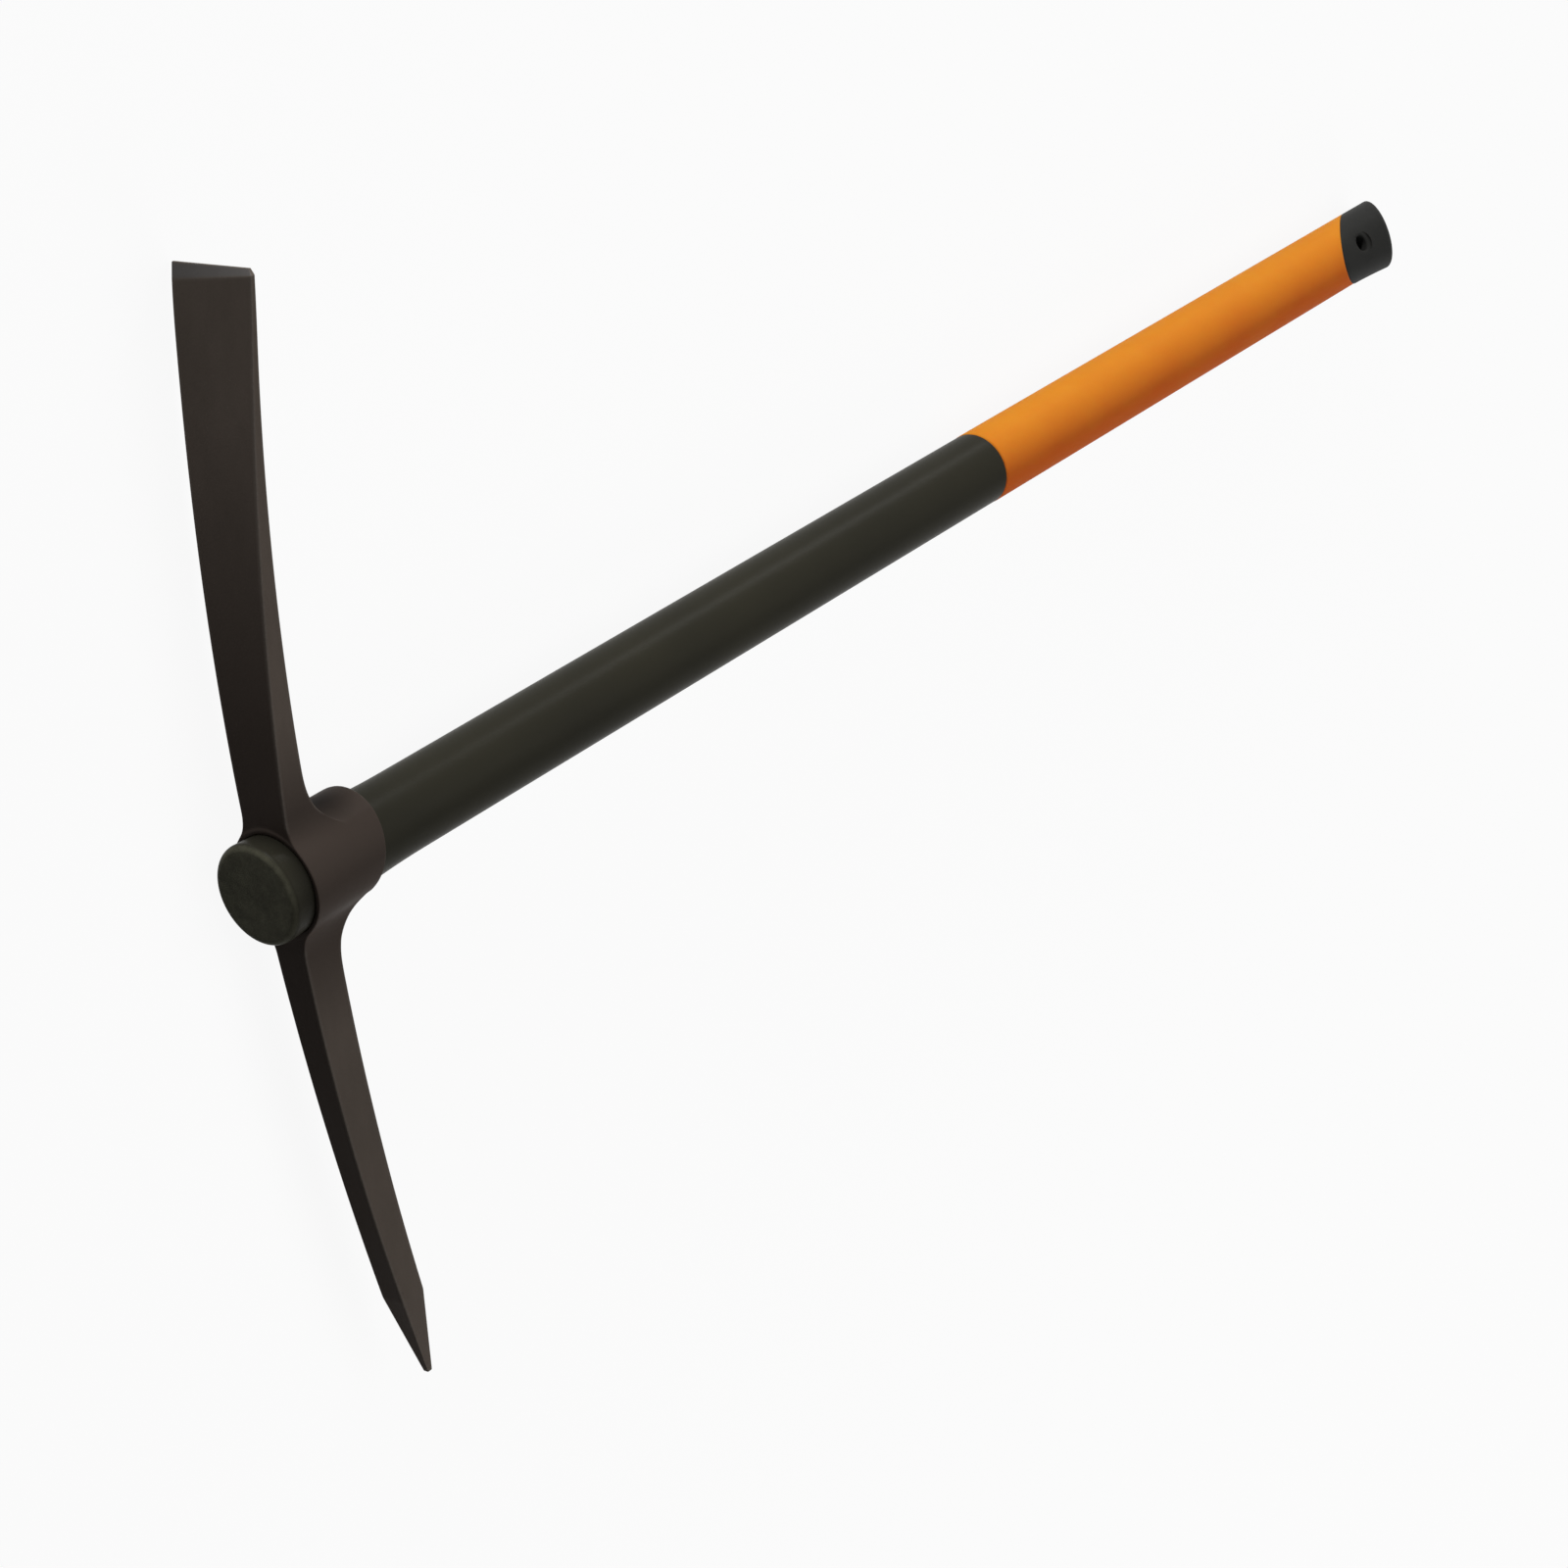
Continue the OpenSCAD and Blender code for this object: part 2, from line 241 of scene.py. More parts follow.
# Head: one drop forging of carbon steel with a chisel, a four-sided pick and a round tapered eye.
# Its arms curve back, and their sides and backs sweep into the eye. It is hardened and black lacquered,
# and it slides up the handle until the swell jams in the eye.
eye_back_x = 53.8
eye_rake = np.tan(np.radians(12))
eye_front_wall = 2.0
eye_back_wall = 3.2
eye_front_r = swell_at(eye_x) + eye_front_wall
eye_back_r = swell_at(eye_back_x) + eye_back_wall
cone_front_x = eye_x + 1.5  # the eye's outer cone has its front and back radius here
cone_back_x = swell_back_x + 4
eye_lean = 0.03
back_fillet = 30.0
back_rise = 0.69  # share of the back's fillet that stands above the eye
back_start_y = eye_back_r + back_rise * back_fillet
side_fillet = 15.0
hold = 1.25  # distance from an edge to the lines of the cage that hold it, which sets its rounding
even = 1.0065  # the subdivided cage draws its rings in by this much

# columns across an arm and rows through it, with a line close to each edge
across = np.array([-1, -1, -2 / 3, -1 / 3, 0, 1 / 3, 2 / 3, 1, 1])
across_edge = np.array([-1, 0, 0, 0, 0, 0, 0, 0, 1])
through = np.array([0, 0, 0.25, 0.5, 0.75, 1, 1])
through_edge = np.array([-1, 0, 0, 0, 0, 0, 1])


def fillet(radius, depth):
    """Rise of a circular fillet at a depth past its start, held after a quarter turn."""
    return radius - np.sqrt(radius ** 2 - np.clip(depth, 0, radius) ** 2)


def eye_at(x):
    """Radius of the eye's outer cone at a place along the handle."""
    return mix(eye_front_r, eye_back_r, (x - cone_front_x) / (cone_back_x - cone_front_x))


def lean_at(x):
    """The outside of the eye leans to the chisel, where its wall is thicker, evenly from the front."""
    return eye_lean * (x - eye_x)


def spread(low, high, edge, share, share_edge):
    """Stations from low to high with the second and the last but one an edge's width inside."""
    return low + edge + (high - low - 2 * edge) * share + edge * share_edge


def arm_cage(front, thick, half, flare_half, tops, edge, side):
    """Rings of the cage of one arm, from the eye outwards, 28 points each.

    front, thick and half give an arm's front face, thickness and half width at a height above the axis.
    Every ring runs along the front face, the side at +Z, the back and the side at -Z.
    The first ring lies on the eye. The next two rise from it along the side's fillet to the first of
    tops, and the rest are flat at the other tops. The back follows a fillet of its own.
    side is 1 for the chisel and -1 for the pick, which is drawn as if it pointed the same way.
    """
    def back(y):
        return front(y) + thick(y) + fillet(back_fillet, back_start_y - y)

    start = np.sqrt((eye_front_r + side_fillet) ** 2 - (flare_half + side_fillet) ** 2)
    corner = np.arccos(start / (eye_front_r + side_fillet))
    root_y = eye_front_r * np.cos(corner)
    rise = np.concatenate([[0, 0.22, 0.55], np.ones(len(tops))])[:, None]
    top = np.concatenate([np.full(3, tops[0]), tops])[:, None]
    lift = mix(root_y, top, rise)
    flare = fillet(side_fillet, start - lift) / fillet(side_fillet, start - root_y)
    # base of the arm on the eye: angles of its columns, and where its back meets the cone
    base_share = spread(-1, 1, hold / (eye_front_r * np.sin(corner)), (across + 1) / 2, across_edge)
    angle = np.arcsin(base_share * np.sin(corner))
    meet = np.full(9, 30.0)  # a first guess
    for step in range(8):
        meet = back(eye_at(meet) * np.cos(angle) + side * lean_at(meet))
    side_x = spread(eye_x, meet[0], hold, through, through_edge)
    rows = {}
    for name, x, turn_at in (
        ("front", np.full(9, eye_x), angle),
        ("side", side_x, np.full(7, corner)),
        ("back", meet, angle),
    ):
        base_y = even * eye_at(x) * np.cos(turn_at) + side * lean_at(x)
        base_z = even * eye_at(x) * np.sin(turn_at)
        y = mix(base_y, top, rise)
        if name == "side":
            line_x = spread(front(y), back(y), edge(y), through, through_edge)
            line_z = half(y) + (base_z - half(base_y)) * flare
        else:
            edge_y = even * eye_at(x[0]) * np.cos(corner) + side * lean_at(x[0])
            edge_z = even * eye_at(x[0]) * np.sin(corner)
            reach_y = mix(edge_y, top, rise)
            reach_z = half(reach_y) + (edge_z - half(edge_y)) * flare
            line_x = front(y) if name == "front" else back(y)
            line_z = spread(-reach_z, reach_z, edge(y), (across + 1) / 2, across_edge)
        row = np.stack(np.broadcast_arrays(line_x, y, line_z), axis=-1)
        row[0] = np.stack([x, base_y, base_z], axis=-1)
        rows[name] = row
    low_side = rows["side"] * [1, 1, -1]
    ring = np.concatenate([
        rows["front"], rows["side"][:, 1:-1], rows["back"][:, ::-1], low_side[:, -2:0:-1],
    ], axis=1)
    return ring, angle, meet, side_x


def end_ring(y, front, back, half, edge):
    """A flat ring of 28 points across an arm at one height."""
    z = spread(-half, half, edge, (across + 1) / 2, across_edge)
    x = spread(front, back, edge, through, through_edge)
    front_row = np.stack(np.broadcast_arrays(front, y, z), axis=-1)
    side_row = np.stack(np.broadcast_arrays(x, y, half), axis=-1)
    back_row = np.stack(np.broadcast_arrays(back, y, z[::-1]), axis=-1)
    return np.concatenate([front_row, side_row[1:-1], back_row, (side_row * [1, 1, -1])[-2:0:-1]])


def end_face(ring):
    """Grid that closes an arm: each column runs from the front row of its last ring to the back row."""
    side_x = ring[8:15, 0]
    share = ((side_x - side_x[0]) / (side_x[-1] - side_x[0]))[:, None, None]
    return mix(ring[0:9][None], ring[14:23][::-1][None], share)


blade_reach = 248.7
blade_sag = 29.6
blade_curve = 1.87
blade_root_thick = 16.2
blade_tip_thick = 2.1
blade_root_half = 11.1
blade_tip_half = 22.3


def blade_front(y):
    """Front face of the chisel: it curves back as a power of the height."""
    return eye_x + blade_sag * (y / blade_reach) ** blade_curve


def blade_thick(y):
    """The chisel thins from the axis to its tip by a square law, faster near the eye."""
    u = y / blade_reach
    return mix(blade_root_thick, blade_tip_thick, 1.35 * u - 0.35 * u * u)


def blade_half(y):
    """Half width of the chisel, which widens evenly from the axis to its tip."""
    return mix(blade_root_half, blade_tip_half, y / blade_reach)


def blade_hold(y):
    """Rounding of the chisel's edges, less where it is thin."""
    return np.minimum(hold, 0.3 * blade_thick(y))


pick_reach = 246.2
pick_sag = 26.2
pick_curve = 1.9
pick_root_thick = 20.6
pick_end_thick = 13.4
pick_root_half = 9.2
pick_end_half = 6.1
point_long = 42.0
point_start = pick_reach - point_long
point_half = 1.3  # half width of the blunt end


def pick_front(y):
    """Front face of the pick, curved back a little less than the chisel."""
    return eye_x + pick_sag * (y / pick_reach) ** pick_curve


def pick_thick(y):
    """The pick thins from the axis to where its point begins, faster towards the point."""
    u = y / point_start
    return mix(pick_root_thick, pick_end_thick, 0.67 * u + 0.33 * u * u)


def pick_half(y):
    """Half width of the pick, which narrows to where its point begins, faster near the eye."""
    u = y / point_start
    return mix(pick_root_half, pick_end_half, 2 * u - u * u)


def pick_hold(y):
    """Rounding of the pick's edges."""
    return np.full_like(y, hold)


# the chisel's ground bevel is higher at -Z than at +Z, and the upper corner of its edge is worn
bevel_long = 4.4
bevel_skew = 2.2
corner_wear = 2.8
edge_thick = 1.0
blade_flare_half = 12.22
bevel_start = blade_reach - bevel_long
blade_tops = np.concatenate([
    [27.9, 31, 36, 42, 50], np.linspace(60, 228, 15), [238.5, bevel_start - 0.7, bevel_start],
])
blade_rings, blade_angle, blade_meet, blade_side = arm_cage(
    blade_front, blade_thick, blade_half, blade_flare_half, blade_tops, blade_hold, 1)
skew_share = np.array([0.5, 1, 1])[:, None]
blade_rings[-3:, :, 1] += bevel_skew * blade_rings[-3:, :, 2] / blade_tip_half * skew_share
edge_back = eye_x + blade_sag + blade_tip_thick
edge = end_ring(blade_reach, edge_back - edge_thick, edge_back, blade_tip_half - corner_wear / 2, 0.3)
edge[:, 2] -= corner_wear / 2
bevel = mix(blade_rings[-1], edge, np.array([0.12, 0.9, 1.0])[:, None, None])
blade = np.concatenate([blade_rings, bevel])

pick_tops = np.concatenate([
    [30.7, 34, 38, 43, 50], np.linspace(60, 194, 12), [point_start - 1.2, point_start],
])
pick_rings, pick_angle, pick_meet, pick_side = arm_cage(
    pick_front, pick_thick, pick_half, pick_root_half, pick_tops, pick_hold, -1)
point_mid = eye_x + pick_sag + pick_end_thick / 3
tip = end_ring(pick_reach, point_mid - point_half, point_mid + point_half, point_half, 0.5)
point = mix(pick_rings[-1], tip, np.array([0.035, 0.35, 0.7, 0.97, 1.0])[:, None, None])
pick = np.concatenate([pick_rings, point]) * [1, -1, 1]

# lines round the eye: across the chisel, down the side at +Z, across the pick and up the side at -Z
side_turn = np.linspace(blade_angle[-1], np.pi - pick_angle[-1], 9)
lines = np.concatenate([blade_angle, side_turn[1:-1], np.pi + pick_angle, 2 * np.pi - side_turn[-2:0:-1]])
meets = np.concatenate([
    blade_meet, np.linspace(blade_meet[-1], pick_meet[0], 9)[1:-1],
    pick_meet, np.linspace(pick_meet[0], blade_meet[-1], 9)[1:-1],
])


def on_eye(x, radius, angle, lean=1.0):
    """Points round the eye at places along it, from their radius and the angle from the chisel."""
    y = even * radius * np.cos(angle) + lean * lean_at(x)
    return np.stack(np.broadcast_arrays(x, y, even * radius * np.sin(angle)), axis=-1)


def rim_place(radius_at, lean):
    """Where the raked back plane cuts a cone, for every line round the eye."""
    x = np.full(len(lines), eye_back_x)
    for step in range(8):
        x = eye_back_x + (radius_at(x) * np.cos(lines) + lean * lean_at(x)) * eye_rake
    return x


outer_rim = rim_place(eye_at, 1)
inner_rim = rim_place(swell_at, 0)
share = np.array([0, 0.22, 0.6, 0.9, 1])[:, None]
skirt_x = mix(meets, outer_rim, share)
skirt = on_eye(skirt_x, eye_at(skirt_x), lines)
front_r = mix(eye_at(eye_x), swell_at(eye_x), np.array([0, 0.5, 1])[:, None])
front_ring = on_eye(eye_x, front_r, lines)
rim_share = np.array([0, 0.5, 1])[:, None]
rim_x = mix(outer_rim, inner_rim, rim_share)
rim_ring = on_eye(rim_x, mix(eye_at(outer_rim), swell_at(inner_rim), rim_share), lines, 1 - rim_share)
bore_x = mix(inner_rim, eye_x, np.array([0, 0.025, 0.35, 0.65, 0.975, 1])[:, None])
bore = on_eye(bore_x, swell_at(bore_x), lines, 0)
cheek_x = mix(blade_side[:, None], pick_side[:, None], np.linspace(0, 1, 9))
cheek = on_eye(cheek_x, eye_at(cheek_x), side_turn)
head_grids = [
    (blade, True), (end_face(blade[-1]), False), (pick, True), (end_face(pick[-1]), False),
    (skirt, True), (front_ring, True), (rim_ring, True), (bore, True),
    (cheek, False), (cheek * [1, 1, -1], False),
]
# marks for the finish: how far each point of the cage lies on an edge, where the lacquer is thinner,
ring_edge = np.isin(np.arange(28), [0, 8, 14, 22]).astype(float)
blade_rub = np.tile(ring_edge, (len(blade), 1))
blade_rub[:3] = 0
blade_rub[len(blade_rings) - 1] = 0.6
pick_rub = np.tile(ring_edge, (len(pick), 1))
pick_rub[:3] = 0
edge_marks = [blade_rub, np.ones((7, 9)), pick_rub, np.ones((7, 9))]
edge_marks += [np.zeros(p.shape[:2]) for p, ring in head_grids[4:]]
# whether it lies on the ground bevel,
ground_marks = [np.zeros(p.shape[:2]) for p, ring in head_grids]
ground_marks[0][len(blade_rings):, 0:9] = 1
# and its painted shade: full on the eye, soon none on the arms' sides, fading outwards in front as painted
# light
shade_marks = [np.clip((70 - np.abs(p[..., 1])) / 40, 0, 1) for p, ring in head_grids]
# painted light: the shade on the front faces fades out between these heights, so the fronts grow lighter
# outwards
for arm, lit_from, lit_to in ((0, 60, 190), (2, 60, 400)):
    front_y = np.abs(head_grids[arm][0][:, 1:8, 1])
    shade_marks[arm][:, 1:8] = np.clip((lit_to - front_y) / (lit_to - lit_from), 0, 1)

# black-lacquered forged steel: thin brownish lacquer over forging scale, with painted shade over the eye and
# the arms' roots that fades out along the front faces as painted light, shallow uneven dents from the dies,
# fine pits, paler metal at the edges where the lacquer draws back, and a painted shadow in the crook behind
# the chisel
crook_at = tuple(crown_at + [0.042, 0.027, 0])  # behind the chisel, in metres, as the reach of the painted shadow there is
crook_reach = (0.017, 0.018, 0.018)
black_steel, tree, shader = new_finish("black_lacquered_forged_steel", Specular_IOR_Level=0.02)
place = add(tree, "TexCoord").outputs["Object"]
drawn = add(tree, "Mapping", {"Vector": place, "Scale": (1, 0.35, 1)}).outputs[0]
patch = add(tree, "TexNoise", {
    "Vector": drawn, "Scale": PER_MM / 24, "Detail": 5, "Roughness": 0.6,
}).outputs[0]
hammer = add(tree, "TexNoise", {"Vector": drawn, "Scale": PER_MM / 9, "Detail": 2}).outputs[0]
pits = add(tree, "TexNoise", {
    "Vector": place, "Scale": PER_MM / 1.1, "Detail": 4, "Roughness": 0.65,
}).outputs[0]
unshaded = add(tree, "Mix", {0: patch, 6: linear("#4c453e"), 7: linear("#665c55")}, data_type="RGBA")
# painted shade and light: where the shade mark is high the lacquer is drawn darker, on the eye and the arms'
# roots
shade_mark = add(tree, "Attribute", attribute_name="shade").outputs["Fac"]
body = add(tree, "Mix", {0: shade_mark, 6: unshaded.outputs[2], 7: linear("#413934")}, data_type="RGBA")
edge_mark = add(tree, "Attribute", attribute_name="edge").outputs["Fac"]
worn = add(tree, "Math", {0: edge_mark, 1: pits}, operation="MULTIPLY")
rubbed = add(tree, "Mix", {0: worn.outputs[0], 6: body.outputs[2], 7: linear("#6f6963")}, data_type="RGBA")
ground_mark = add(tree, "Attribute", attribute_name="ground").outputs["Fac"]
ground = add(tree, "Math", {0: ground_mark, 1: 0.6}, operation="MULTIPLY")
bare = add(tree, "Mix", {0: ground.outputs[0], 6: rubbed.outputs[2], 7: linear("#626263")}, data_type="RGBA")
# painted shadow: a dark blot in the crook behind the chisel, where the chisel shades the top of the eye
crook = add(tree, "Mapping", {
    "Vector": place, "Location": crook_at, "Scale": crook_reach,
}, vector_type="TEXTURE")
reach = add(tree, "VectorMath", {0: crook.outputs[0]}, operation="LENGTH").outputs["Value"]
painted_shade = add(tree, "MapRange", {"Value": reach, "From Min": 0.1, "To Min": 0.75, "To Max": 0.0})
tone = add(tree, "Mix", {0: painted_shade.outputs[0], 6: bare.outputs[2], 7: linear("#0e0d0c")}, data_type="RGBA")
rough = add(tree, "MapRange", {"Value": patch, "To Min": 0.36, "To Max": 0.60})
shallow = add(tree, "Bump", {"Height": hammer, "Strength": 0.5, "Distance": 0.0004})
dent = add(tree, "Bump", {
    "Height": pits, "Strength": 0.35, "Distance": 0.0001, "Normal": shallow.outputs[0],
})
feed(tree, shader, Base_Color=tone.outputs[2], Roughness=rough.outputs[0], Normal=dent.outputs[0])
head_marks = {"edge": edge_marks, "ground": ground_marks, "shade": shade_marks}
head_mesh = new_mesh("forged_head", head_grids, head_marks)
head = new_piece("forged_head", head_mesh, black_steel, "head", sharp=3.2)
smooth = head.modifiers.new("forged_rounding", "SUBSURF")
smooth.levels = 2
smooth.render_levels = 2

# Grip: a sleeve of soft orange thermoplastic rubber moulded round the stepped-down jacket.
# It stands a little proud of the shaft, with a rounded edge at each end, and its lower end is cut on a
# slope where the cap begins. The cap's eyelet comes out through a round hole in its short side.
grip_r = 18.15
grip_edge = 1.2
seam_edge = 0.5
seam_x = 875.0
seam_slope = np.tan(np.radians(62))
handle_sides = 144  # points in a row round the handle
handle_turn = np.radians(10)
side_dir = np.array([0, np.cos(handle_turn), -np.sin(handle_turn)])
long_dir = np.array([0, np.sin(handle_turn), np.cos(handle_turn)])


def sloped(x, slope, r, side=0.0):
    """Rows round the handle, each on a plane of its own slope: x falls by slope times the height.

    The handle is turned a little in the round eye, so heights are along its own long side.
    side shifts a row sideways.
    """
    a = np.linspace(0, 2 * np.pi, handle_sides, endpoint=False)
    x, slope, r, side = [
        np.asarray(v, float).reshape(-1, 1) if np.ndim(v) < 2 else v for v in (x, slope, r, side)
    ]
    height = r * np.cos(a)
    points = (side - r * np.sin(a))[..., None] * side_dir + height[..., None] * long_dir
    points[..., 0] = x - slope * height
    return points


quarter = np.linspace(0, np.pi / 2, 7)
front_x = grip_x + grip_edge * (1 - np.cos(quarter))
front_ring_r = grip_r - grip_edge * (1 - np.sin(quarter))
seam_ring_x = seam_x - seam_edge * 2 * (1 - np.sin(quarter))
seam_ring_r = grip_r - seam_edge * (1 - np.cos(quarter))
length = np.linspace(0.03, 0.97, 24)
row_x = np.concatenate([front_x, mix(grip_x, seam_x, length), seam_ring_x, [seam_x, grip_x]])
row_slope = np.concatenate([np.zeros(7), seam_slope * length, np.full(7, seam_slope), [seam_slope, 0]])
row_r = np.concatenate([front_ring_r, np.full(24, grip_r), seam_ring_r, np.full(2, sleeve_r + fit_gap)])
grip_rows = sloped(row_x, row_slope, row_r)
grip_rows = np.concatenate([grip_rows, grip_rows[:1]])

hole_x = 864.6
hole_turn = np.radians(16) + handle_turn
hole_dir = np.array([0, np.sin(hole_turn), np.cos(hole_turn)])
hole_side = np.array([0, np.cos(hole_turn), -np.sin(hole_turn)])


def along_hole(profile, sides=64):
    """A profile of [place along the hanging hole, radius] turned about the hole's axis."""
    place, r = np.array(profile, float).T[:, :, None]
    a = np.linspace(0, 2 * np.pi, sides, endpoint=False)
    place = np.broadcast_to(place, (len(profile), sides))
    points = (r * np.sin(a))[..., None] * hole_side + place[..., None] * hole_dir
    points[..., 0] = hole_x + r * np.cos(a)
    return points


def carved(mesh, cuts):
    """The mesh after boolean cuts: each is (operation, mesh of the other solid)."""
    block = bpy.data.objects.new("carved_block", mesh)
    bpy.context.scene.collection.objects.link(block)
    others = []
    for operation, other_mesh in cuts:
        other = bpy.data.objects.new("carving_tool", other_mesh)
        bpy.context.scene.collection.objects.link(other)
        cut = block.modifiers.new(operation, "BOOLEAN")
        cut.operation = operation
        cut.solver = "EXACT"
        cut.object = other
        others.append(other)
    depsgraph = bpy.context.evaluated_depsgraph_get()
    result = bpy.data.meshes.new_from_object(block.evaluated_get(depsgraph))
    for item in others + [block]:
        bpy.data.objects.remove(item)
    return closed(result)


# soft thermoplastic rubber: warm orange with a matt skin, with painted light that makes it yellower on the
# chisel's side and painted shade that makes it redder below; light goes a little way in and comes out redder
lit_side_from = -0.006  # from below the handle's axis to above it, in metres
lit_side_to = 0.020
orange_rubber, tree, shader = new_finish(
    "soft_thermoplastic_rubber", IOR=1.5, Specular_IOR_Level=0.02,
    Subsurface_Weight=0.25, Subsurface_Radius=(1.0, 0.25, 0.08), Subsurface_Scale=0.004)
place = add(tree, "TexCoord").outputs["Object"]
cloud = add(tree, "TexNoise", {
    "Vector": place, "Scale": PER_MM / 35, "Detail": 4, "Roughness": 0.6,
}).outputs[0]
skin = add(tree, "TexNoise", {"Vector": place, "Scale": PER_MM / 0.9, "Detail": 3}).outputs[0]
# painted light and shade: the sleeve is drawn yellower towards the chisel's side and redder towards the
# pick's side, with random mottling on top
height = add(tree, "SeparateXYZ", {0: place}).outputs[1]
lit_side = add(tree, "MapRange", {
    "Value": height, "From Min": crown_at[1] + lit_side_from, "From Max": crown_at[1] + lit_side_to,
}).outputs[0]
patchy = add(tree, "MapRange", {"Value": cloud, "To Min": -0.22, "To Max": 0.22}).outputs[0]
lit_side_and_mottle = add(tree, "Math", {0: lit_side, 1: patchy}, operation="ADD", use_clamp=True)
tone = add(tree, "Mix", {0: lit_side_and_mottle.outputs[0], 6: linear("#c95f22"), 7: linear("#da8827")}, data_type="RGBA")
rough = add(tree, "MapRange", {"Value": skin, "To Min": 0.48, "To Max": 0.66})
dent = add(tree, "Bump", {"Height": skin, "Strength": 0.3, "Distance": 0.0002})
feed(tree, shader, Base_Color=tone.outputs[2], Roughness=rough.outputs[0], Normal=dent.outputs[0])
eyelet_r = 7.5
gap_r = eyelet_r + fit_gap
eyelet_gap = new_mesh("eyelet_gap", [(along_hole([[-30, 0], [-30, gap_r], [0, gap_r], [0, 0]]), True)])
grip_mesh = carved(new_mesh("grip", [(grip_rows, True)]), [("DIFFERENCE", eyelet_gap)])
new_piece("grip", grip_mesh, orange_rubber, "grip_sleeve")

# End cap: a moulded pommel of black plastic, cut on a slope at both ends, with a rounded edge and a heel.
# Its neck goes up under the grip and holds the end of the rod. A hole for hanging goes through it, in a flat
# seat on its long side and in an eyelet that comes out through the grip on the short side.
neck_x = jacket_end_x + fit_gap
socket_x = 851.12  # where the rod ends in the cap
seam_gap = 0.05
seam_round = 0.4
end_x = 908.6
cap_round = 3.5
cap_r = 19.1
cap_heel = 1.0
end_slope = np.tan(np.radians(42))
hole_r = 4.5
hole_lead = 1.2
seat_at = 17.35
seat_chamfer = 0.3
eyelet_chamfer = 0.4


def cap_radius(u):
    """The cap swells with the square of the share of its length."""
    return mix(grip_r, cap_r, u * u)


# share of the cap's length at which the seam's plane cuts it, round the cap
around = np.cos(np.linspace(0, 2 * np.pi, handle_sides, endpoint=False))
seam_share = np.full(handle_sides, 0.5)
for step in range(8):
    height = cap_radius(seam_share) * around
    cap_long = end_x - cap_round - neck_x - end_slope * height
    seam_share = (seam_x + seam_gap - neck_x - seam_slope * height) / cap_long
rows = np.array([0, 0.012, 0.03, 0.12, 0.24, 0.36, 0.48, 0.6, 0.72, 0.84, 0.94, 1.0])[:, None]
share = mix(seam_share, 1, rows)
# the first two rows round the edge at the seam
skin_r = cap_radius(share) - seam_round * np.clip(1 - np.arange(len(rows)) / 2, 0, 1)[:, None] ** 2
outside = sloped(mix(neck_x, end_x - cap_round, share), end_slope * share, skin_r, -cap_heel * share ** 2)
quarter = np.linspace(0, np.pi / 2, 11)[1:]
edge_x = end_x - cap_round * (1 - np.sin(quarter))
edge_r = cap_r - cap_round * (1 - np.cos(quarter))
face_r = edge_r[-1] * np.array([0.8, 0.5, 0.2, 0])
inner_x = np.array([socket_x, socket_x, neck_x, neck_x])
inner_r = np.array([0, core_r, core_r, sleeve_r])
cap_rows = np.concatenate([
    sloped(inner_x, 0, inner_r),
    sloped(seam_x + seam_gap, seam_slope, sleeve_r),
    outside,
    sloped(edge_x, end_slope, edge_r, -cap_heel),
    sloped(end_x, end_slope, face_r, -cap_heel),
])
lead = np.linspace(0, np.pi / 2, 7)
lead_in = np.stack([
    seat_at - hole_lead * (1 - np.sin(lead)), hole_r + hole_lead * (1 - np.cos(lead)),
], axis=-1)
seat = [
    [seat_at, eyelet_r - seat_chamfer], [seat_at + seat_chamfer, eyelet_r], [40, eyelet_r], [40, 0],
]
hole_profile = np.vstack([[[-40, 0], [-40, hole_r]], lead_in[:1] * [-1, 1], lead_in, seat])
hole_cut = new_mesh("hole_cut", [(along_hole(hole_profile), True)])
eyelet = new_mesh("eyelet", [(along_hole([
    [-seat_at, 0], [-seat_at, eyelet_r - eyelet_chamfer], [-seat_at + eyelet_chamfer, eyelet_r],
    [-9, eyelet_r], [-9, 0],
]), True)])

# moulded cap plastic: the same black, a touch greyer and with a coarser sparked grain than the shaft;
# the real grain is about 0.3 mm and is drawn at 0.9 mm so that it shows
cap_plastic, tree, shader = new_finish("moulded_cap_plastic", IOR=1.49, Specular_IOR_Level=0.03)
place = add(tree, "TexCoord").outputs["Object"]
cloud = add(tree, "TexNoise", {"Vector": place, "Scale": PER_MM / 20, "Detail": 3}).outputs[0]
grain = add(tree, "TexNoise", {
    "Vector": place, "Scale": PER_MM / 0.9, "Detail": 3, "Roughness": 0.6,
}).outputs[0]
tone = add(tree, "Mix", {0: cloud, 6: linear("#222221"), 7: linear("#2b2b29")}, data_type="RGBA")
rough = add(tree, "MapRange", {"Value": grain, "To Min": 0.42, "To Max": 0.60})
dent = add(tree, "Bump", {"Height": grain, "Strength": 0.4, "Distance": 0.0003})
feed(tree, shader, Base_Color=tone.outputs[2], Roughness=rough.outputs[0], Normal=dent.outputs[0])
cap_block = new_mesh("end_cap_shell", [(cap_rows, True)])
cap_mesh = carved(cap_block, [("UNION", eyelet), ("DIFFERENCE", hole_cut)])
new_piece("pommel", cap_mesh, cap_plastic, "end_cap")

# Floor and light: a pale floor that the tool lies on, two soft boxes low on the chisel's side, one above and
# one on the pick's side. The camera, reflections and glass see the floor nearly white, with a faint shadow.
floor_half = 9.0
floor_z = -0.0005  # half a millimetre below the tool
floor_corners = [(floor_half * x, floor_half * y, floor_z) for x, y in ((-1, -1), (1, -1), (1, 1), (-1, 1))]
floor_mesh = bpy.data.meshes.new("studio_floor")
floor_mesh.from_pydata(floor_corners, [], [(0, 1, 2, 3)])
floor = bpy.data.objects.new("studio_floor", floor_mesh)
bpy.context.scene.collection.objects.link(floor)


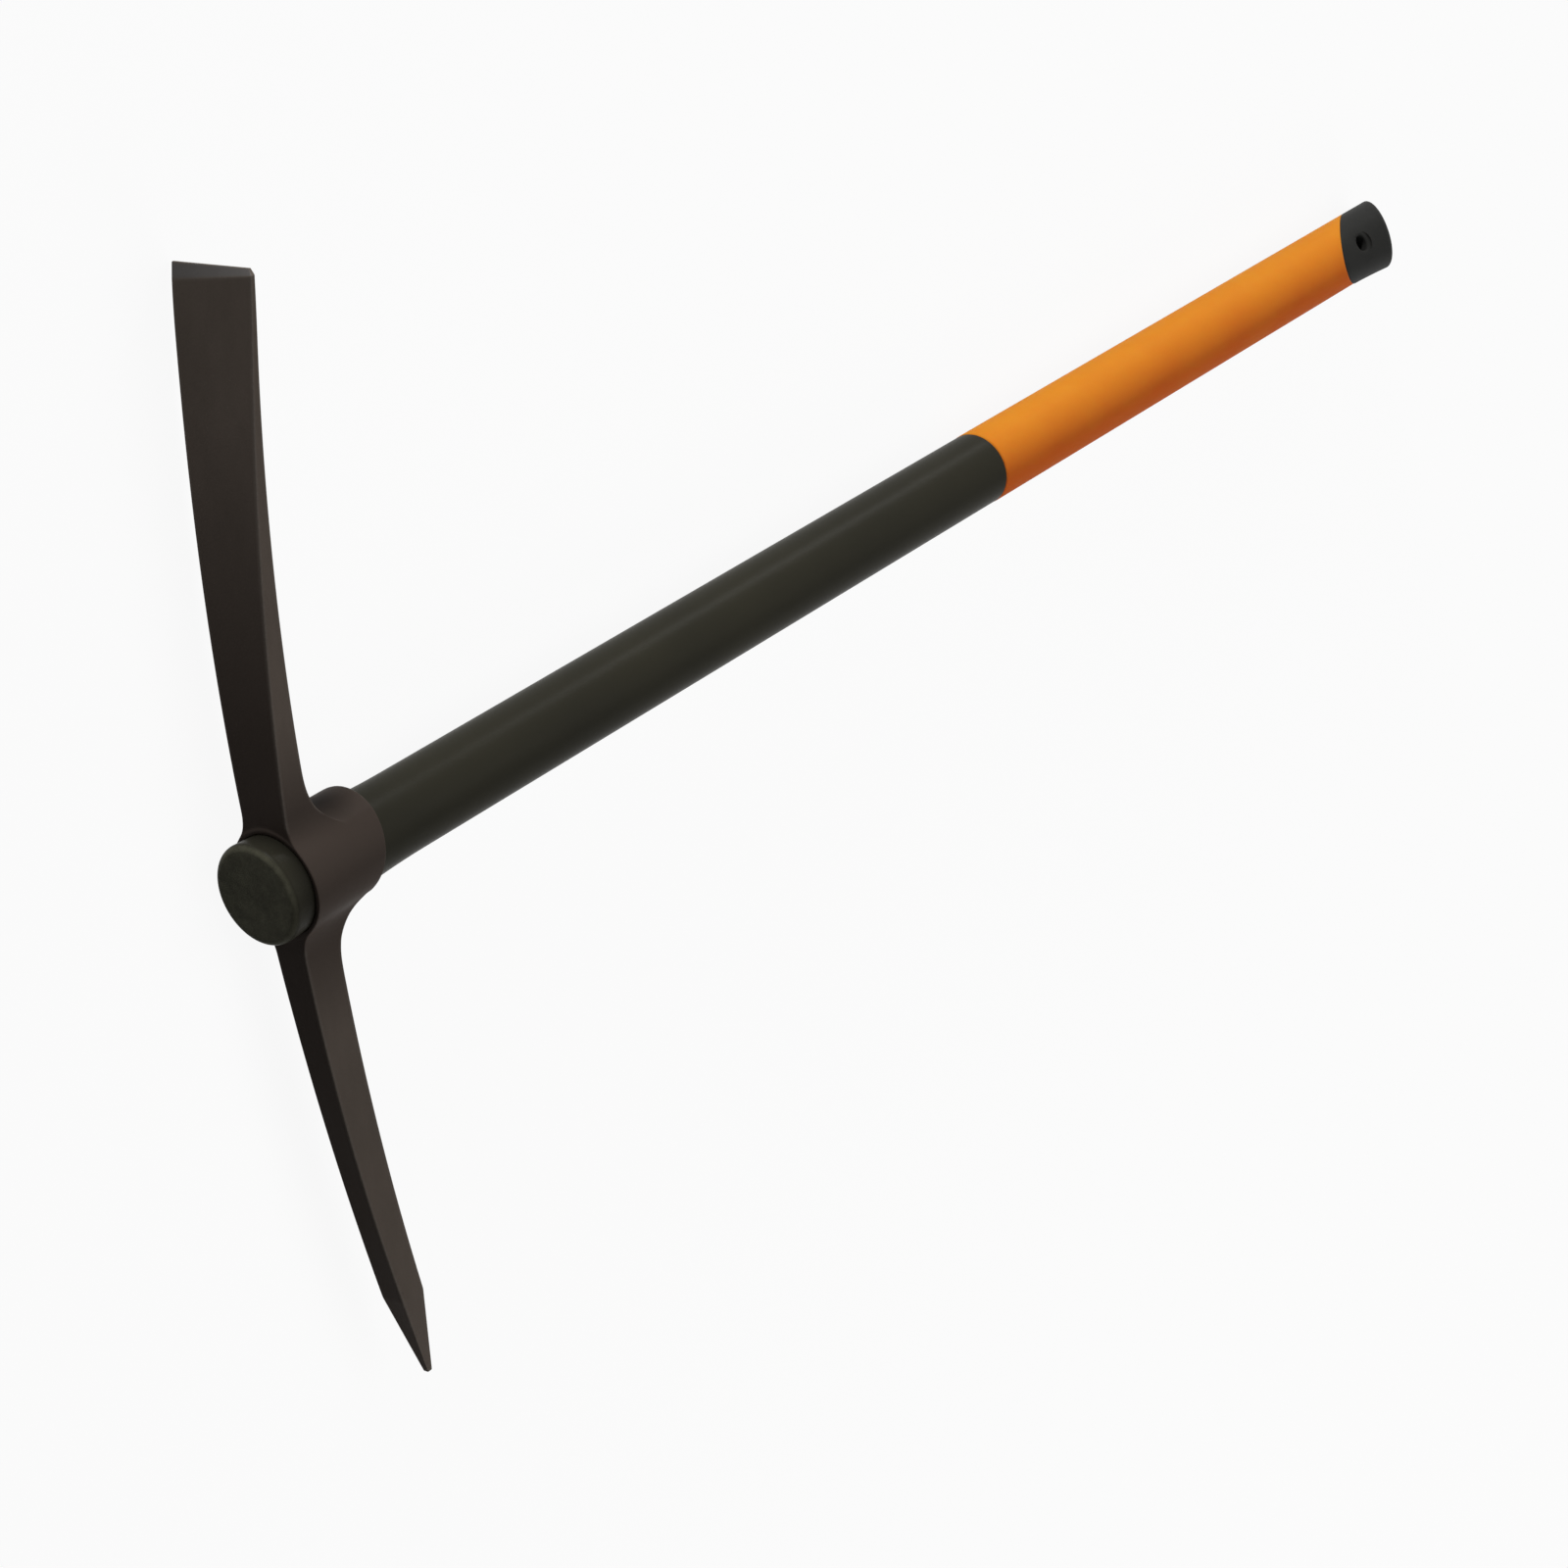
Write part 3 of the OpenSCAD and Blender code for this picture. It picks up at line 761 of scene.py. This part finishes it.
def seen_share(tree, share):
    """A share for rays that show the background: from the camera, in reflections and through glass."""
    ray = add(tree, "LightPath")
    seen = ray.outputs["Is Camera Ray"]
    for kind in ("Is Glossy Ray", "Is Transmission Ray"):
        seen = add(tree, "Math", {0: seen, 1: ray.outputs[kind]}, operation="MAXIMUM").outputs[0]
    return add(tree, "Math", {0: seen, 1: share}, operation="MULTIPLY").outputs[0]


# the floor sends little light back up, as a floor further below would
floor_paint, tree, shader = new_finish("pale_studio_floor", Roughness=0.9)
bounced = add(tree, "LightPath").outputs["Is Diffuse Ray"]
pale = add(tree, "Mix", {0: bounced, 6: linear("#f2f2f2"), 7: linear("#6e6e6e")}, data_type="RGBA")
feed(tree, shader, Base_Color=pale.outputs[2])
glow = add(tree, "Emission", {"Color": (1, 1, 1, 1), "Strength": 1.0})
both = add(tree, "MixShader", {0: seen_share(tree, 0.92), 1: shader.outputs[0], 2: glow.outputs[0]})
tree.links.new(both.outputs[0], tree.nodes["Material Output"].inputs["Surface"])
floor_mesh.materials.append(floor_paint)

world = bpy.data.worlds.new("studio")
bpy.context.scene.world = world
world.use_nodes = True
tree = world.node_tree
room = tree.nodes["Background"]
room.inputs["Color"].default_value = (1, 1, 1, 1)
room.inputs["Strength"].default_value = 0.08
white = add(tree, "Background", {"Color": (1, 1, 1, 1), "Strength": 1.0})
both = add(tree, "MixShader", {0: seen_share(tree, 1.0), 1: room.outputs[0], 2: white.outputs[0]})
tree.links.new(both.outputs[0], tree.nodes["World Output"].inputs["Surface"])


def soft_box(name, place, target, size, power):
    """A square area lamp at a place, facing a target, in metres and watts."""
    lamp = bpy.data.lights.new(name, "AREA")
    lamp.shape = "SQUARE"
    lamp.size = size
    lamp.energy = power
    stand = bpy.data.objects.new(name, lamp)
    bpy.context.scene.collection.objects.link(stand)
    back = np.subtract(place, target)
    back = back / np.linalg.norm(back)
    right = np.cross([0, 0, 1], back)
    right = right / np.linalg.norm(right)
    turn = np.column_stack([right, np.cross(back, right), back])
    stand.matrix_world = Matrix.Translation(place) @ Matrix(turn.tolist()).to_4x4()


soft_box("key_light", (-0.6, 3.0, 0.25), (-0.2, 0, 0), 0.5, 68)
soft_box("rim_light", (2.0, 2.1, 0.25), (0, 0, 0), 0.4, 17)
soft_box("fill_light", (0.5, 0.3, 2.5), (0, 0, 0), 2.0, 27)
soft_box("side_light", (0.3, -2.2, 1.3), (0, 0, 0), 1.5, 16)

# Camera: looks down on the tool from in front of its head, on the chisel's side, with the chisel pointing up.
# Its place, turn and focal length were fitted to the outline of the tool in the photo.
picture_px = 1600
focal_px = 4026.22
camera = bpy.data.cameras.new("camera")
camera.sensor_width = 36
camera.lens = camera.sensor_width * focal_px / picture_px
camera.clip_end = 50
viewer = bpy.data.objects.new("camera", camera)
bpy.context.scene.collection.objects.link(viewer)
right = np.array([0.597568, -0.130411, 0.791142])
up = np.array([0.390152, 0.909292, -0.144805])
viewer_at = crown_at + np.array([-0.9574, 0.6346, 1.0941])
turn = np.column_stack([right, up, np.cross(right, up)])
viewer.matrix_world = Matrix.Translation(viewer_at) @ Matrix(turn.tolist()).to_4x4()
bpy.context.scene.camera = viewer
bpy.context.scene.view_settings.view_transform = "Standard"
